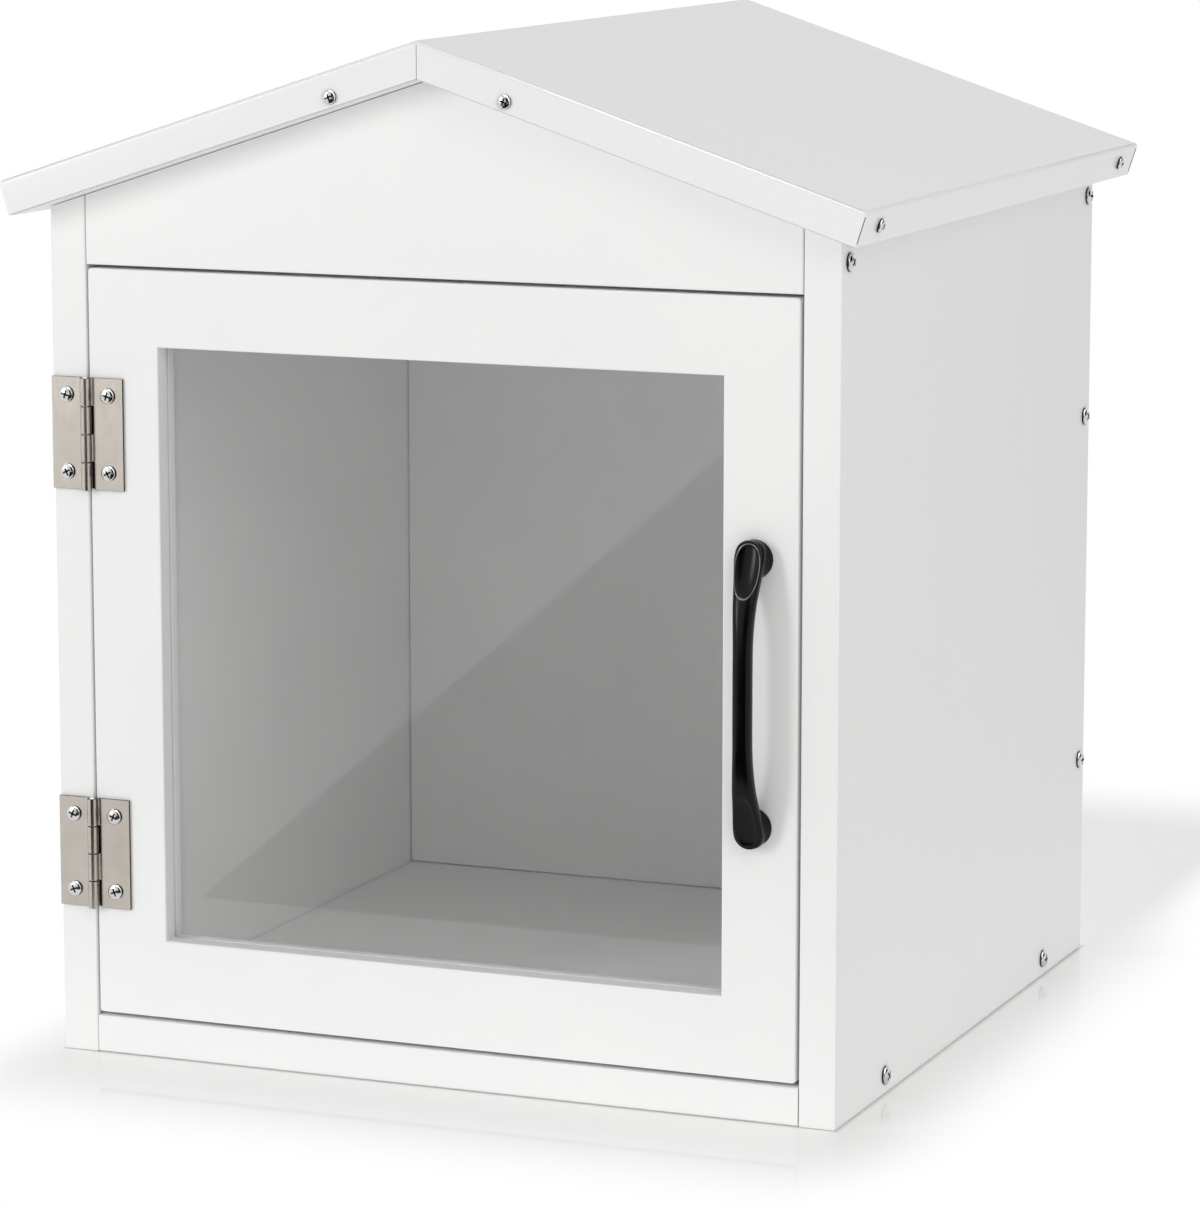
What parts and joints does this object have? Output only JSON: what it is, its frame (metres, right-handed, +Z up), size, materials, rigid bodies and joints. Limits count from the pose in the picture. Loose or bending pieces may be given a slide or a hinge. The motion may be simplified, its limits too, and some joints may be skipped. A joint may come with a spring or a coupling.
{
  "type": "street book exchange box",
  "caption": "White board cabinet with a folded metal gable roof, a glazed door on side hinges with a black arched pull, and a magnetic catch.",
  "frame": {"origin": "middle of the bounding box in plan, at the underside of the cabinet, on the surface that the box stands on", "axes": "+Z up, -Y towards the front where the door is, +X to the right of someone who faces the door"},
  "size_m": [0.4024, 0.4022, 0.4589],
  "materials": {
    "white_paint": "satin white paint on board",
    "roof_paint": "semi-gloss white powder coat on folded sheet",
    "clear_pane": "clear polished acrylic",
    "hinge_steel": "satin nickel",
    "screw_steel": "bright zinc plate",
    "black_enamel": "satin black powder coat",
    "catch_plastic": "moulded white plastic",
    "magnet_steel": "plain zinc-plated steel"
  },
  "bodies": {
    "cabinet": {"side_panel_left": "white_paint", "side_panel_right": "white_paint", "bottom_panel": "white_paint", "gable_board": "white_paint", "back_panel": "white_paint", "roof_board_left": "white_paint", "roof_board_right": "white_paint", "roof_sheet": "roof_paint", "side_screw_left_front": "screw_steel", "side_screw_left_rear_upper": "screw_steel", "side_screw_left_rear_middle": "screw_steel", "side_screw_left_rear_lower": "screw_steel", "side_screw_left_base_front": "screw_steel", "side_screw_left_base_rear": "screw_steel", "side_screw_right_front": "screw_steel", "side_screw_right_rear_upper": "screw_steel", "side_screw_right_rear_middle": "screw_steel", "side_screw_right_rear_lower": "screw_steel", "side_screw_right_base_front": "screw_steel", "side_screw_right_base_rear": "screw_steel", "roof_screw_front_left": "screw_steel", "roof_screw_front_right": "screw_steel", "roof_screw_rear_left": "screw_steel", "roof_screw_rear_right": "screw_steel", "eave_screw_left_front": "screw_steel", "eave_screw_left_rear": "screw_steel", "eave_screw_right_front": "screw_steel", "eave_screw_right_rear": "screw_steel", "hinge_lower_frame_leaf": "hinge_steel", "hinge_lower_pin": "screw_steel", "hinge_lower_frame_screw_bottom": "screw_steel", "hinge_lower_frame_screw_top": "screw_steel", "hinge_upper_frame_leaf": "hinge_steel", "hinge_upper_pin": "screw_steel", "hinge_upper_frame_screw_bottom": "screw_steel", "hinge_upper_frame_screw_top": "screw_steel", "catch_case": "catch_plastic", "catch_magnet": "magnet_steel", "catch_screw_lower": "screw_steel", "catch_screw_upper": "screw_steel"},
    "door": {"door_frame": "white_paint", "window_pane": "clear_pane", "glazing_bead_bottom": "white_paint", "glazing_bead_top": "white_paint", "glazing_bead_left": "white_paint", "glazing_bead_right": "white_paint", "hinge_lower_door_leaf": "hinge_steel", "hinge_lower_door_screw_bottom": "screw_steel", "hinge_lower_door_screw_top": "screw_steel", "hinge_upper_door_leaf": "hinge_steel", "hinge_upper_door_screw_bottom": "screw_steel", "hinge_upper_door_screw_top": "screw_steel", "pull_handle": "black_enamel", "pull_screw_lower": "screw_steel", "pull_screw_upper": "screw_steel", "catch_strike": "magnet_steel", "strike_screw": "screw_steel"}
  },
  "joints": [
    {"name": "door_hinge", "type": "hinge", "parent": "cabinet", "child": "door", "pos_m": [-0.1675, -0.185, 0.18675], "axis": [0, 0, -1], "range_deg": [0, 170]}
  ]
}
